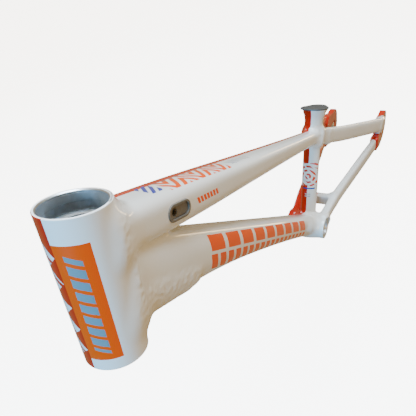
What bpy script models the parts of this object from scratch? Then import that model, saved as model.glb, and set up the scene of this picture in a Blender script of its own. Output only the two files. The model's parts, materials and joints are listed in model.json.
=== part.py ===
"""Bare aluminium race frame for a 20-inch BMX bike, built as its separate tubes and fittings.

Frame of reference: metres, +X forwards, +Y to the rider's left, +Z up.
The origin is the centre of the bottom bracket shell.
"""
import math

import bmesh
import bpy
from mathutils import Matrix, Vector

# ---- driving dimensions, in metres and degrees ----------------------------------------------
HEAD_ANGLE = math.radians(74.0)
SEAT_ANGLE = math.radians(71.0)
GAP = 0.0003                    # clearance between neighbouring pieces

HEAD_BOTTOM = Vector((0.455, 0, 0.280))
HEAD_LENGTH = 0.1215
HEAD_RADIUS = 0.0245
BEARING_RADIUS = 0.0220         # seat for a 44 mm headset cup
BEARING_DEPTH = 0.016
HEAD_BORE_RADIUS = 0.0195

BB_RADIUS = 0.0215
BB_BORE_RADIUS = 0.0174
BB_WIDTH = 0.073

SEAT_TUBE_RADIUS = 0.0143
SEAT_BORE_RADIUS = 0.0127       # takes a 25.4 mm post
SEAT_TUBE_LENGTH = 0.211

AXLE = Vector((-0.394, 0, -0.022))
AXLE_BORE_RADIUS = 0.0051       # takes a 10 mm axle
HUB_WIDTH = 0.110               # over locknut distance
DROPOUT_THICK = 0.013
BLOCK_LENGTH = 0.030
BLOCK_HEIGHT = 0.0150
BLOCK_OFFSET = 0.0045           # the block's middle lies this far behind the axle
BLOCK_TRAVEL = 0.0065           # each way along the slot
TUG_REAR = -0.4410              # back face of the tug screw's head
TUG_TIP = -0.4065               # its end, inside the block
TUG_RADIUS = 0.0020
TUG_HEAD_RADIUS = 0.0035
TUG_HEAD_LENGTH = 0.0040

RING = 28                       # points round a formed tube
WALL = 0.0020

# Down tube, measured along and across a line that leaves the origin at this slope
DOWN_ANGLE = math.radians(39.0)
TOP_TUBE_FRONT = Vector((0.427, 0, 0.3712))
TOP_TUBE_REAR = Vector((-0.0545, 0, 0.1565))

PORT_CENTRE_X = 0.357
PORT_LENGTH = 0.031
PORT_HEIGHT = 0.0145
EXIT_CENTRE_X = 0.040

COVER_THICK = 0.0025
COVER_FRONT = (0.0020, 0.0235)  # the egg-shaped cover: distance behind the axis, and radius
COVER_REAR = (0.0210, 0.0150)

WEDGE_WIDTH = 0.0140
WEDGE_LOW, WEDGE_HIGH = 0.176, 0.190
POCKET_LOW, POCKET_HIGH = 0.172, 0.1985
CLAMP_BOLT_BACK = 0.0192
CLAMP_BOLT_RADIUS = 0.0025
CLAMP_HEAD_RADIUS = 0.0042
CLAMP_HEAD_LENGTH = 0.0050

HEAD_AXIS = Vector((-math.cos(HEAD_ANGLE), 0, math.sin(HEAD_ANGLE)))
SEAT_AXIS = Vector((-math.cos(SEAT_ANGLE), 0, math.sin(SEAT_ANGLE)))
SEAT_BACK = Vector((-math.sin(SEAT_ANGLE), 0, -math.cos(SEAT_ANGLE)))
SIDES = {"left": 1, "right": -1}

# ---- scene and materials --------------------------------------------------------------------
for old in list(bpy.data.objects):
    bpy.data.objects.remove(old, do_unlink=True)
PARTS = bpy.data.collections.new("bmx_race_frame")
CUTTERS = bpy.data.collections.new("cutters")
for collection in (PARTS, CUTTERS):
    bpy.context.scene.collection.children.link(collection)


def material(name, colour, roughness, metallic=0.0):
    made = bpy.data.materials.new(name)
    made.use_nodes = True
    shader = made.node_tree.nodes["Principled BSDF"]
    shader.inputs["Base Color"].default_value = (*colour, 1)
    shader.inputs["Roughness"].default_value = roughness
    shader.inputs["Metallic"].default_value = metallic
    return made


WHITE = material("white_enamel", (0.78, 0.79, 0.76), 0.15)
RED = material("red_enamel", (0.60, 0.045, 0.025), 0.18)
BARE = material("machined_aluminium", (0.72, 0.75, 0.78), 0.25, 1.0)
STEEL = material("black_steel", (0.05, 0.05, 0.055), 0.35, 1.0)
RUBBER = material("dark_rubber", (0.09, 0.09, 0.08), 0.6)


# ---- helpers --------------------------------------------------------------------------------
def put(obj, paint=None):
    """File an object with the parts, or with the cutters when it has no material."""
    for collection in list(obj.users_collection):
        collection.objects.unlink(obj)
    if paint is None:
        CUTTERS.objects.link(obj)
        obj.hide_render = True
        obj.display_type = "WIRE"
    else:
        PARTS.objects.link(obj)
        obj.data.materials.append(paint)
    return obj


def from_bmesh(name, shape, paint=None):
    mesh = bpy.data.meshes.new(name)
    bmesh.ops.recalc_face_normals(shape, faces=shape.faces)
    shape.to_mesh(mesh)
    shape.free()
    mesh.shade_smooth()
    mesh.set_sharp_from_angle(angle=math.radians(35))
    obj = bpy.data.objects.new(name, mesh)
    return put(obj, paint)


def placed(origin, up):
    """A matrix whose Z runs along up, and whose Y stays level."""
    z = up.normalized()
    side = Vector((0, 1, 0)) if abs(z.y) < 0.9 else Vector((0, 0, 1))
    x = side.cross(z).normalized()
    y = z.cross(x)
    return Matrix.Translation(origin) @ Matrix((x, y, z)).transposed().to_4x4()


def cylinder(name, radius, start, end, paint=None, segments=40):
    shape = bmesh.new()
    length = (end - start).length
    bmesh.ops.create_cone(shape, cap_ends=True, segments=segments, radius1=radius,
                          radius2=radius, depth=length)
    obj = from_bmesh(name, shape, paint)
    obj.matrix_world = placed((start + end) / 2, end - start)
    return obj


def turned(name, profile, origin, axis, paint=None, steps=40):
    """A closed ring: the profile is (radius, height) points, outer side first, top to bottom."""
    mesh = bpy.data.meshes.new(name)
    count = len(profile)
    mesh.from_pydata([(r, 0, h) for r, h in profile], [(i, (i + 1) % count) for i in range(count)], [])
    obj = put(bpy.data.objects.new(name, mesh), paint)
    screw = obj.modifiers.new("turn", "SCREW")
    screw.steps = screw.render_steps = steps
    screw.use_merge_vertices = True
    screw.merge_threshold = 0.00001
    obj.matrix_world = placed(origin, axis)
    return obj


def cut(obj, *cutters):
    for cutter in cutters:
        boolean = obj.modifiers.new("cut_" + cutter.name, "BOOLEAN")
        boolean.operation = "DIFFERENCE"
        boolean.solver = "EXACT"
        boolean.object = cutter
    return obj


def squircle(width, height, power, count=RING):
    """Points of a rounded section: power 2 is an ellipse, a higher power is squarer."""
    points = []
    for i in range(count):
        angle = 2 * math.pi * i / count
        c, s = math.cos(angle), math.sin(angle)
        points.append((width / 2 * math.copysign(abs(c) ** (2 / power), c),
                       height / 2 * math.copysign(abs(s) ** (2 / power), s)))
    return points


def rings(stations, inset=0.0, facing=None):
    """World points of each section, a (centre, width, height, power); facing is a fixed normal."""
    made = []
    for i, (centre, width, height, power) in enumerate(stations):
        before = stations[max(i - 1, 0)][0]
        after = stations[min(i + 1, len(stations) - 1)][0]
        along = facing or (after - before).normalized()
        side = Vector((0, 0, 1)).cross(along).normalized()
        up = along.cross(side)
        made.append([centre + side * a + up * b
                     for a, b in squircle(width - 2 * inset, height - 2 * inset, power)])
    return made


def skin(shape, sections):
    """Verts and side faces of a loft through sections; returns its rows of verts."""
    rows = [[shape.verts.new(point) for point in section] for section in sections]
    for low, high in zip(rows, rows[1:]):
        for i in range(len(low)):
            j = (i + 1) % len(low)
            shape.faces.new((low[i], low[j], high[j], high[i]))
    return rows


def formed_tube(name, stations, paint, wall=WALL):
    """A hollow tube with open ends, lofted through unlike sections."""
    shape = bmesh.new()
    outer = skin(shape, rings(stations))
    inner = skin(shape, rings(stations, wall))
    for a, b in ((outer[0], inner[0]), (outer[-1], inner[-1])):
        for i in range(len(a)):
            j = (i + 1) % len(a)
            shape.faces.new((a[i], a[j], b[j], b[i]))
    return from_bmesh(name, shape, paint)


def formed_solid(name, stations, grow=0.0, paint=None, facing=None):
    """The same loft filled in, for cutters and for forged pieces."""
    shape = bmesh.new()
    rows = skin(shape, rings(stations, -grow, facing))
    shape.faces.new(rows[0])
    shape.faces.new(rows[-1])
    return from_bmesh(name, shape, paint)


def rounded(corners, steps=6):
    """An outline from (x, z, radius) corners, each turned into an arc."""
    outline = []
    for i, (x, z, radius) in enumerate(corners):
        here = Vector((x, z))
        back = (Vector(corners[i - 1][:2]) - here).normalized()
        ahead = (Vector(corners[(i + 1) % len(corners)][:2]) - here).normalized()
        half = back.angle(ahead) / 2
        reach = radius / math.tan(half)
        centre = here + (back + ahead).normalized() * radius / math.sin(half)
        start, end = here + back * reach - centre, here + ahead * reach - centre
        turn = math.atan2(start.x * end.y - start.y * end.x, start.dot(end))
        for k in range(steps + 1):
            outline.append(centre + Matrix.Rotation(turn * k / steps, 2) @ start)
    return outline


def stadium(length, height, steps=9):
    """An obround outline centred on zero."""
    radius = height / 2
    reach = length / 2 - radius
    points = []
    for centre, first in ((reach, -math.pi / 2), (-reach, math.pi / 2)):
        for k in range(steps + 1):
            angle = first + math.pi * k / steps
            points.append(Vector((centre + radius * math.cos(angle), radius * math.sin(angle))))
    return points


def egg(front, rear, steps=12):
    """The outline round two circles on the X axis, each a (place, radius)."""
    (x1, r1), (x2, r2) = front, rear
    lean = math.acos((r1 - r2) / (x2 - x1))
    points = []
    for k in range(2 * steps + 1):
        angle = lean + (2 * math.pi - 2 * lean) * k / (2 * steps)
        points.append(Vector((x1 + r1 * math.cos(angle), r1 * math.sin(angle))))
    for k in range(steps + 1):
        angle = -lean + 2 * lean * k / steps
        points.append(Vector((x2 + r2 * math.cos(angle), r2 * math.sin(angle))))
    return points


def plate(name, outlines, thickness, matrix, paint=None):
    """A flat plate from a filled 2D curve; outlines after the first are holes."""
    curve = bpy.data.curves.new(name + "_outline", "CURVE")
    curve.dimensions = "2D"
    curve.fill_mode = "BOTH"
    curve.extrude = thickness / 2
    for outline in outlines:
        spline = curve.splines.new("POLY")
        spline.points.add(len(outline) - 1)
        for point, place in zip(spline.points, outline):
            point.co = (place.x, place.y, 0, 1)
        spline.use_cyclic_u = True
    drawn = bpy.data.objects.new(name + "_drawn", curve)
    bpy.context.scene.collection.objects.link(drawn)
    bpy.context.view_layer.update()
    evaluated = drawn.evaluated_get(bpy.context.evaluated_depsgraph_get())
    mesh = bpy.data.meshes.new_from_object(evaluated)
    bpy.data.objects.remove(drawn, do_unlink=True)
    shape = bmesh.new()
    shape.from_mesh(mesh)
    bmesh.ops.remove_doubles(shape, verts=shape.verts, dist=0.00001)
    obj = from_bmesh(name, shape, paint)
    obj.matrix_world = matrix
    return obj


def side_plane(y):
    """Drawing plane of the side view: its X is world X, its Y is world Z."""
    return Matrix.Translation((0, y, 0)) @ Matrix.Rotation(math.radians(90), 4, "X")


# ---- head tube ------------------------------------------------------------------------------
def make_head_tube():
    ledge = 0.0010
    profile = [(HEAD_RADIUS, HEAD_LENGTH), (HEAD_RADIUS, 0), (BEARING_RADIUS + ledge, 0),
               (BEARING_RADIUS, ledge), (BEARING_RADIUS, BEARING_DEPTH),
               (HEAD_BORE_RADIUS, BEARING_DEPTH + 0.0015),
               (HEAD_BORE_RADIUS, HEAD_LENGTH - BEARING_DEPTH - 0.0015),
               (BEARING_RADIUS, HEAD_LENGTH - BEARING_DEPTH),
               (BEARING_RADIUS, HEAD_LENGTH - ledge), (BEARING_RADIUS + ledge, HEAD_LENGTH)]
    turned("head_tube", profile, HEAD_BOTTOM, HEAD_AXIS, WHITE, steps=48)
    return cylinder("head_cutter", HEAD_RADIUS + GAP, HEAD_BOTTOM - HEAD_AXIS * 0.03,
                    HEAD_BOTTOM + HEAD_AXIS * (HEAD_LENGTH + 0.03), segments=48)


# ---- bottom bracket shell and seat tube -----------------------------------------------------
def make_bottom_bracket():
    half = BB_WIDTH / 2
    chamfer = 0.0010
    profile = [(BB_RADIUS, half), (BB_RADIUS, -half), (BB_BORE_RADIUS + chamfer, -half),
               (BB_BORE_RADIUS, chamfer - half), (BB_BORE_RADIUS, half - chamfer),
               (BB_BORE_RADIUS + chamfer, half)]
    turned("bottom_bracket_shell", profile, Vector(), Vector((0, 1, 0)), WHITE)
    reach = Vector((0, half + 0.01, 0))
    return cylinder("bb_cutter", BB_RADIUS + GAP, -reach, reach)


def seat_point(along, back=0.0, left=0.0):
    """A point given by its height up the seat tube and how far it is behind the tube's axis."""
    return SEAT_AXIS * along + SEAT_BACK * back + Vector((0, left, 0))


def block(name, low, high, back_low, back_high, width, paint=None):
    """A box in the seat tube's own directions."""
    shape = bmesh.new()
    size = Matrix.Diagonal((back_high - back_low, width, high - low, 1))
    bmesh.ops.create_cube(shape, size=1, matrix=size)
    obj = from_bmesh(name, shape, paint)
    obj.matrix_world = placed(seat_point((low + high) / 2, (back_low + back_high) / 2), SEAT_AXIS)
    return obj


def make_seat_tube(bb_cutter, down_cutter):
    low_end = 0.004
    profile = [(SEAT_TUBE_RADIUS, SEAT_TUBE_LENGTH), (SEAT_TUBE_RADIUS, low_end),
               (SEAT_BORE_RADIUS, low_end), (SEAT_BORE_RADIUS, SEAT_TUBE_LENGTH)]
    tube = turned("seat_tube", profile, Vector(), SEAT_AXIS, WHITE)
    window = block("wedge_window", POCKET_LOW, POCKET_HIGH, 0.008, 0.018, WEDGE_WIDTH + 2 * GAP)
    cut(tube, bb_cutter, down_cutter, window)


def make_seat_clamp(seat_cutter, stay_cutters):
    """Forged housing behind the seat tube, with a wedge, its bolt and the cover on top."""
    top = SEAT_TUBE_LENGTH - GAP
    sizes = [(top, 0.0110, 0.0420, 0.0420), (0.2055, 0.0112, 0.0350, 0.0385),
             (0.1985, 0.0112, 0.0255, 0.0355), (0.1900, 0.0105, 0.0205, 0.0345),
             (0.1720, 0.0100, 0.0190, 0.0335), (0.1580, 0.0070, 0.0180, 0.0290)]
    stations = [(seat_point(along, back), w, h, 2.4) for along, back, w, h in sizes]
    housing = formed_solid("seat_clamp_housing", stations, paint=WHITE, facing=-SEAT_AXIS)
    pocket = block("wedge_pocket", POCKET_LOW, POCKET_HIGH, 0.010, 0.0245, WEDGE_WIDTH + 2 * GAP)
    head_seat = top - CLAMP_HEAD_LENGTH - 2 * GAP
    bolt_hole = cylinder("clamp_bolt_hole", CLAMP_BOLT_RADIUS + GAP, seat_point(POCKET_LOW, CLAMP_BOLT_BACK),
                         seat_point(top + 0.002, CLAMP_BOLT_BACK), segments=20)
    head_hole = cylinder("clamp_head_hole", CLAMP_HEAD_RADIUS + GAP, seat_point(head_seat, CLAMP_BOLT_BACK),
                         seat_point(top + 0.002, CLAMP_BOLT_BACK), segments=20)
    cut(housing, seat_cutter, pocket, bolt_hole, head_hole, *stay_cutters)

    wedge = block("seat_clamp_wedge", WEDGE_LOW, WEDGE_HIGH, 0.0129, 0.0241, WEDGE_WIDTH, BARE)
    cut(wedge, bolt_hole)
    socket_head("seat_clamp_bolt", seat_point(top - GAP, CLAMP_BOLT_BACK), -SEAT_AXIS,
                CLAMP_HEAD_RADIUS, CLAMP_HEAD_LENGTH, CLAMP_BOLT_RADIUS, top - POCKET_LOW - 2 * GAP)

    low = SEAT_TUBE_LENGTH + GAP
    plane = placed(seat_point(low + COVER_THICK / 2), SEAT_AXIS) @ Matrix.Rotation(math.pi, 4, "Z")
    cover = plate("seat_tube_cover", [egg(COVER_FRONT, COVER_REAR)], COVER_THICK, plane, RUBBER)
    edge = cover.modifiers.new("soft_edge", "BEVEL")
    edge.width = COVER_THICK / 3
    edge.segments = 2
    edge.limit_method = "ANGLE"
    edge.angle_limit = math.radians(50)
    spigot = cylinder("cover_spigot", SEAT_BORE_RADIUS - 2 * GAP, seat_point(low - 0.008),
                      seat_point(low + 0.001))
    join = cover.modifiers.new("join_spigot", "BOOLEAN")
    join.operation = "UNION"
    join.object = spigot


def socket_head(name, top, direction, head_radius, head_length, radius, length):
    """A socket-head screw, its head first, with the hexagon socket as a turned-in well."""
    well_radius = head_radius * 0.5
    well_depth = head_length * 0.6
    profile = [(0, -well_depth), (well_radius, -well_depth), (well_radius, 0), (head_radius, 0),
               (head_radius, -head_length), (radius, -head_length), (radius, -length), (0, -length)]
    turned(name, profile, top, -direction, STEEL, steps=20)


# ---- top tube and down tube -----------------------------------------------------------------
def top_tube_stations():
    """Sections from the seat tube to the head tube: centre, width, height, squareness."""
    sizes = [(0.00, 0.0265, 0.0235, 2.8), (0.10, 0.0280, 0.0235, 3.0), (0.30, 0.0325, 0.0250, 3.4),
             (0.55, 0.0385, 0.0290, 3.6), (0.80, 0.0435, 0.0340, 3.6), (1.00, 0.0450, 0.0350, 3.4)]
    return [(TOP_TUBE_REAR.lerp(TOP_TUBE_FRONT, t), w, h, p) for t, w, h, p in sizes]


def down_tube_stations():
    """Sections from the bottom bracket to the head tube; the underside deepens to a throat."""
    sizes = [(0.000, 0.0440, 0.0205, -0.0185), (0.110, 0.0420, 0.0210, -0.0180),
             (0.210, 0.0405, 0.0212, -0.0190), (0.280, 0.0400, 0.0214, -0.0210),
             (0.360, 0.0400, 0.0216, -0.0250), (0.430, 0.0410, 0.0218, -0.0320),
             (0.475, 0.0420, 0.0218, -0.0390), (0.545, 0.0420, 0.0218, -0.0505)]
    return [(down_point(s, (top + low) / 2), w, top - low, 2.6) for s, w, top, low in sizes]


def down_point(along, across):
    """A point given by its place along the down tube's line and its height square to it."""
    c, s = math.cos(DOWN_ANGLE), math.sin(DOWN_ANGLE)
    return Vector((along * c - across * s, 0, along * s + across * c))


def tube_slope():
    run = TOP_TUBE_FRONT - TOP_TUBE_REAR
    return math.atan2(run.z, run.x)


def top_tube_point(x, across=0.0):
    """A point on the top tube's middle plane, across is square to the tube's line."""
    t = (x - TOP_TUBE_REAR.x) / (TOP_TUBE_FRONT.x - TOP_TUBE_REAR.x)
    normal = Vector((-math.sin(tube_slope()), 0, math.cos(tube_slope())))
    return TOP_TUBE_REAR.lerp(TOP_TUBE_FRONT, t) + normal * across


def main_tubes(head_cutter, seat_cutter, bb_cutter):
    port_cutter, exit_cutter = make_cable_ports()
    top = formed_tube("top_tube", top_tube_stations(), WHITE)
    cut(top, head_cutter, seat_cutter, port_cutter, exit_cutter)
    top_cutter = formed_solid("top_tube_cutter", top_tube_stations(), GAP)
    down = formed_tube("down_tube", down_tube_stations(), WHITE)
    cut(down, head_cutter, bb_cutter, top_cutter)
    down_cutter = formed_solid("down_tube_cutter", down_tube_stations(), GAP)

    # the throat gusset is a saddle that follows the down tube's underside
    under = 0.0034
    sizes = [(0.443, 0.0406, -0.0335), (0.475, 0.0412, -0.0390), (0.500, 0.0416, -0.0431),
             (0.540, 0.0420, -0.0497)]
    crown = 0.0218
    stations = [(down_point(s, (crown + low - under) / 2), w - 0.002, crown - low + under, 2.6)
                for s, w, low in sizes]
    gusset = formed_solid("down_tube_gusset", stations, paint=WHITE)
    upper = plate("gusset_upper", [[Vector((0.30, -0.022)), Vector((0.62, -0.046)), Vector((0.62, 0.08)),
                                    Vector((0.30, 0.08))]], 0.08,
                  side_plane(0) @ Matrix.Rotation(DOWN_ANGLE, 4, "Z"))
    cut(gusset, head_cutter, down_cutter, upper)
    return down_cutter


def make_cable_ports():
    """A framed port on the left side near the head, and an exit under the tube near the seat."""
    slope = Matrix.Rotation(tube_slope(), 4, "Z")
    wall_y = 0.0219
    centre = top_tube_point(PORT_CENTRE_X)

    def on_side(y):
        return Matrix.Translation((centre.x, y, centre.z)) @ Matrix.Rotation(math.radians(90), 4, "X") @ slope

    hole = plate("port_cutter", [stadium(PORT_LENGTH + 2 * GAP, PORT_HEIGHT + 2 * GAP)], 0.020, on_side(wall_y))
    rim = 0.0022
    inner = stadium(PORT_LENGTH - 2 * rim, PORT_HEIGHT - 2 * rim)
    plate("cable_port_frame", [stadium(PORT_LENGTH, PORT_HEIGHT), inner], 0.0040, on_side(wall_y - 0.0008), RUBBER)
    floor = stadium(PORT_LENGTH - 2 * rim - 2 * GAP, PORT_HEIGHT - 2 * rim - 2 * GAP)
    cable_hole = [point + Vector((0.006, 0)) for point in stadium(0.0064, 0.0062)]
    plate("cable_port_plug", [floor, cable_hole], 0.0022, on_side(wall_y - 0.0016), RUBBER)

    normal = Vector((math.sin(tube_slope()), 0, -math.cos(tube_slope())))
    under = top_tube_point(EXIT_CENTRE_X, -0.0119)

    def under_tube(drop):
        return placed(under + normal * drop, normal)

    exit_length, exit_width = 0.020, 0.0090
    exit_cutter = plate("exit_cutter", [stadium(exit_length + 2 * GAP, exit_width + 2 * GAP)], 0.010, under_tube(0))
    grommet_hole = [point + Vector((0.003, 0)) for point in stadium(0.0085, 0.0062)]
    plate("cable_exit_grommet", [stadium(exit_length, exit_width), grommet_hole], 0.0034, under_tube(0.0005), RUBBER)
    return hole, exit_cutter


# ---- rear triangle --------------------------------------------------------------------------
CHAINSTAY = [(-0.008, 0.0265, 0.0080, 0.0165, 0.0250), (-0.075, 0.0335, 0.0085, 0.0160, 0.0260),
             (-0.160, 0.0425, -0.0020, 0.0155, 0.0275), (-0.260, 0.0535, -0.0145, 0.0150, 0.0290),
             (-0.326, 0.0605, -0.0228, 0.0130, 0.0300), (-0.352, 0.0615, -0.0262, 0.0125, 0.0300)]
SEATSTAY = [(-0.054, 0.0125, 0.1585, 0.0120, 0.0260), (-0.140, 0.0275, 0.1140, 0.0120, 0.0280),
            (-0.240, 0.0450, 0.0660, 0.0125, 0.0295), (-0.320, 0.0600, 0.0285, 0.0135, 0.0300),
            (-0.362, 0.0665, 0.0095, 0.0140, 0.0290), (-0.384, 0.0670, 0.0000, 0.0130, 0.0260)]


def stay_stations(rows, sign):
    return [(Vector((x, y * sign, z)), w, h, 3.2) for x, y, z, w, h in rows]


def dropout_outline():
    corners = [(-0.332, -0.041, 0.004), (-0.378, -0.057, 0.030), (-0.420, -0.058, 0.022),
               (-0.446, -0.040, 0.018), (-0.444, -0.004, 0.020), (-0.426, 0.012, 0.016),
               (-0.396, 0.015, 0.030), (-0.366, 0.022, 0.010), (-0.344, 0.012, 0.004),
               (-0.356, -0.005, 0.010), (-0.330, -0.010, 0.003)]
    return rounded(corners)


def make_dropout(side, sign):
    y = sign * (HUB_WIDTH + DROPOUT_THICK) / 2
    middle = Vector((AXLE.x - BLOCK_OFFSET, AXLE.z))
    slot = [middle + p for p in stadium(BLOCK_LENGTH + 2 * (BLOCK_TRAVEL + GAP), BLOCK_HEIGHT + 2 * GAP)]
    dropout = plate("dropout_" + side, [dropout_outline(), slot], DROPOUT_THICK, side_plane(y), RED)

    axis_start = Vector((TUG_REAR - 0.01, y, AXLE.z))
    bore = cylinder("tug_bore_" + side, TUG_RADIUS + GAP, axis_start, Vector((AXLE.x, y, AXLE.z)), segments=16)
    seat = Vector((TUG_REAR + TUG_HEAD_LENGTH + GAP, y, AXLE.z))
    counterbore = cylinder("tug_seat_" + side, TUG_HEAD_RADIUS + GAP, axis_start, seat, segments=16)
    cut(dropout, bore, counterbore)

    block_outline = [middle + p for p in stadium(BLOCK_LENGTH, BLOCK_HEIGHT)]
    axle_hole = [Vector((AXLE.x, AXLE.z)) + p for p in stadium(2.002 * AXLE_BORE_RADIUS, 2 * AXLE_BORE_RADIUS)]
    adapter = plate("axle_block_" + side, [block_outline, axle_hole], DROPOUT_THICK, side_plane(y), BARE)
    cut(adapter, bore)
    socket_head("tug_screw_" + side, Vector((TUG_REAR, y, AXLE.z)), Vector((1, 0, 0)),
                TUG_HEAD_RADIUS, TUG_HEAD_LENGTH, TUG_RADIUS, TUG_TIP - TUG_REAR)
    return plate("dropout_cutter_" + side, [dropout_outline()], DROPOUT_THICK + 2 * GAP, side_plane(y))


def make_rear_triangle(bb_cutter, seat_cutter):
    chain_cutters, seat_cutters = [], []
    for side, sign in SIDES.items():
        tab = make_dropout(side, sign)
        paint = WHITE if sign > 0 else RED
        lower = stay_stations(CHAINSTAY, sign)
        upper = stay_stations(SEATSTAY, sign)
        cut(formed_tube("chainstay_" + side, lower, paint), bb_cutter, seat_cutter, tab)
        cut(formed_tube("seatstay_" + side, upper, paint), seat_cutter, tab)
        chain_cutters.append(formed_solid("chainstay_cutter_" + side, lower, GAP))
        seat_cutters.append(formed_solid("seatstay_cutter_" + side, upper, GAP))

    yoke = rounded([(-0.080, -0.004, 0.003), (-0.080, 0.0190, 0.003), (-0.068, 0.0190, 0.003),
                    (-0.064, -0.004, 0.003)])
    cut(plate("chainstay_bridge", [yoke], 0.066, side_plane(0), WHITE), *chain_cutters)
    arch = rounded([(-0.092, 0.130, 0.003), (-0.086, 0.152, 0.003), (-0.078, 0.148, 0.003),
                    (-0.083, 0.126, 0.003)])
    cut(plate("seatstay_bridge", [arch], 0.036, side_plane(0), WHITE), *seat_cutters)
    return seat_cutters


head_cutter = make_head_tube()
bb_cutter = make_bottom_bracket()
seat_cutter = cylinder("seat_cutter", SEAT_TUBE_RADIUS + GAP, seat_point(0), seat_point(SEAT_TUBE_LENGTH + 0.03))
down_cutter = main_tubes(head_cutter, seat_cutter, bb_cutter)
make_seat_tube(bb_cutter, down_cutter)
stay_cutters = make_rear_triangle(bb_cutter, seat_cutter)
make_seat_clamp(seat_cutter, stay_cutters)
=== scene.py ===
# %% [markdown]
# # A bare BMX race frame, finished in enamel
# A race frame is a handful of aluminium tubes, pressed to shape, welded at their ends, sanded and
# painted. The measured model already holds every tube at its true size, but only as flat facets.
# Here each tube is drawn again with a fine skin that flows into its neighbours, and then painted.

# %% Load the measured frame
import json
import math

import bmesh
import bpy
import numpy as np
from mathutils import Matrix, Vector, noise
from mathutils.bvhtree import BVHTree


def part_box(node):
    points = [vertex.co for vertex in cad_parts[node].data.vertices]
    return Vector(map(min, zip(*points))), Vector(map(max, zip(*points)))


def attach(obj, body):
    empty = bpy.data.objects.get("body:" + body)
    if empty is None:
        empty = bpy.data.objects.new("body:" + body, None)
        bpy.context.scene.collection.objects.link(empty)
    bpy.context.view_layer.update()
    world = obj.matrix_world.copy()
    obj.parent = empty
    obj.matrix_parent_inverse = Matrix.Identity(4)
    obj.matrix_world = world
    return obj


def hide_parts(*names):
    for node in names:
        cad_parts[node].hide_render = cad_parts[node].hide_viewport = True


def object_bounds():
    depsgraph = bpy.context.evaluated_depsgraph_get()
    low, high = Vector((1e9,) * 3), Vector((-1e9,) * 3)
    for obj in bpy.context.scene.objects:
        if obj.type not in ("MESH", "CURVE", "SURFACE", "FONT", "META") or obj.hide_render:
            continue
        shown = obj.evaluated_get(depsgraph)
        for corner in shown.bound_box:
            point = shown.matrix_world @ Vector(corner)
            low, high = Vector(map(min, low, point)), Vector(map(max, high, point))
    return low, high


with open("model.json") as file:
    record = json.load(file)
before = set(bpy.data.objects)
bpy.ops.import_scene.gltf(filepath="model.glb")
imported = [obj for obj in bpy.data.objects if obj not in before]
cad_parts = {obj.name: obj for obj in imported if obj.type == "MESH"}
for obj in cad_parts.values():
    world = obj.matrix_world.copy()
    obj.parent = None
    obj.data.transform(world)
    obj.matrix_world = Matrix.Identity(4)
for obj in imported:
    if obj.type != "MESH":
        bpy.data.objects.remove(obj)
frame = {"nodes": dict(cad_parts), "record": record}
cad_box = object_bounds()

# %% [markdown]
# ## The frame's own directions
# Everything on a bicycle frame is laid out from two slanted axes: the head tube's, which the fork
# turns in, and the seat tube's. The bottom bracket's centre is the origin, +X is forwards and +Y is
# the rider's left. All sizes are in metres, so one millimetre is worth naming.

# %% Driving sizes
MM = 0.001
FORWARDS, LEFTWARDS = Vector((1, 0, 0)), Vector((0, 1, 0))


def leaning(degrees):
    """The unit vector of a tube that leans back from the ground by this angle, in the side view."""
    angle = math.radians(degrees)
    return Vector((-math.cos(angle), 0, math.sin(angle)))


def ahead_of(axis):
    """The level-sided direction square to a leaning axis, pointing forwards."""
    return Vector((axis.z, 0, -axis.x))


HEAD_AXIS, HEAD_BOTTOM = leaning(74), Vector((0.455, 0, 0.280))
HEAD_LENGTH, HEAD_RADIUS = 121.5 * MM, 24.5 * MM
SEAT_AXIS = leaning(71)
SEAT_LENGTH, SEAT_RADIUS, SEAT_BORE = 211 * MM, 14.3 * MM, 12.7 * MM
BB_AXIS, BB_RADIUS, BB_WIDTH = LEFTWARDS, 21.5 * MM, 73 * MM
TOP_REAR, TOP_FRONT = Vector((-0.0545, 0, 0.1565)), Vector((0.427, 0, 0.3712))
TOP_AXIS = (TOP_FRONT - TOP_REAR).normalized()
DOWN_AXIS = Vector((math.cos(math.radians(39)), 0, math.sin(math.radians(39))))
AXLE = Vector((-0.394, 0, -0.022))
SIDES = {"left": 1, "right": -1}
print("seat tube leans along", tuple(round(v, 3) for v in SEAT_AXIS))

# %% [markdown]
# ## Camera
# The camera stands in front of the head tube, a little to the rider's left and above it, and looks
# back and down along the frame. So close, the head tube looms and the rear end is small, which is
# what a wide lens does. The view is rolled and shifted a little, as a cropped picture is.

# %% Camera
def in_scene(name, data):
    """A new object that holds this data, linked into the scene."""
    obj = bpy.data.objects.new(name, data)
    bpy.context.scene.collection.objects.link(obj)
    return obj


def add_camera(place, target, roll, lens, shift):
    """A camera at place that looks at target, rolled by an angle in radians."""
    aim = (target - place).normalized()
    right = aim.cross(Vector((0, 0, 1))).normalized()
    up = right.cross(aim)
    across = right * math.cos(roll) + up * math.sin(roll)
    rolled = (across, up * math.cos(roll) - right * math.sin(roll), -aim)
    data = bpy.data.cameras.new("camera")
    data.sensor_width, data.lens = 36, lens
    data.shift_x, data.shift_y = shift
    data.clip_start = 0.01
    camera = in_scene("camera", data)
    camera.matrix_world = Matrix.Translation(place) @ Matrix(rolled).transposed().to_4x4()
    bpy.context.scene.camera = camera


add_camera(place=Vector((0.5433, 0.1904, 0.5260)), target=Vector((0.2275, -0.0415, 0.1160)),
           roll=-0.277, lens=33.86, shift=(-0.0503, 0.1379))
print("camera with a lens of", round(bpy.context.scene.camera.data.lens), "mm")

# %% [markdown]
# ## One helper for shader nodes
# Every material below is a small tree of nodes. One function adds a node, sets it up and wires its
# inputs: an input is either a plain value or another node's output.

# %% Node and colour helpers
def add(tree, kind, inputs=None, **settings):
    """Add a node, with its settings and its inputs by name or number, and return it."""
    node = tree.nodes.new(kind)
    for name, value in settings.items():
        setattr(node, name, value)
    for socket, value in (inputs or {}).items():
        if isinstance(value, bpy.types.NodeSocket):
            tree.links.new(value, node.inputs[socket])
        else:
            node.inputs[socket].default_value = value
    return node


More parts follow.
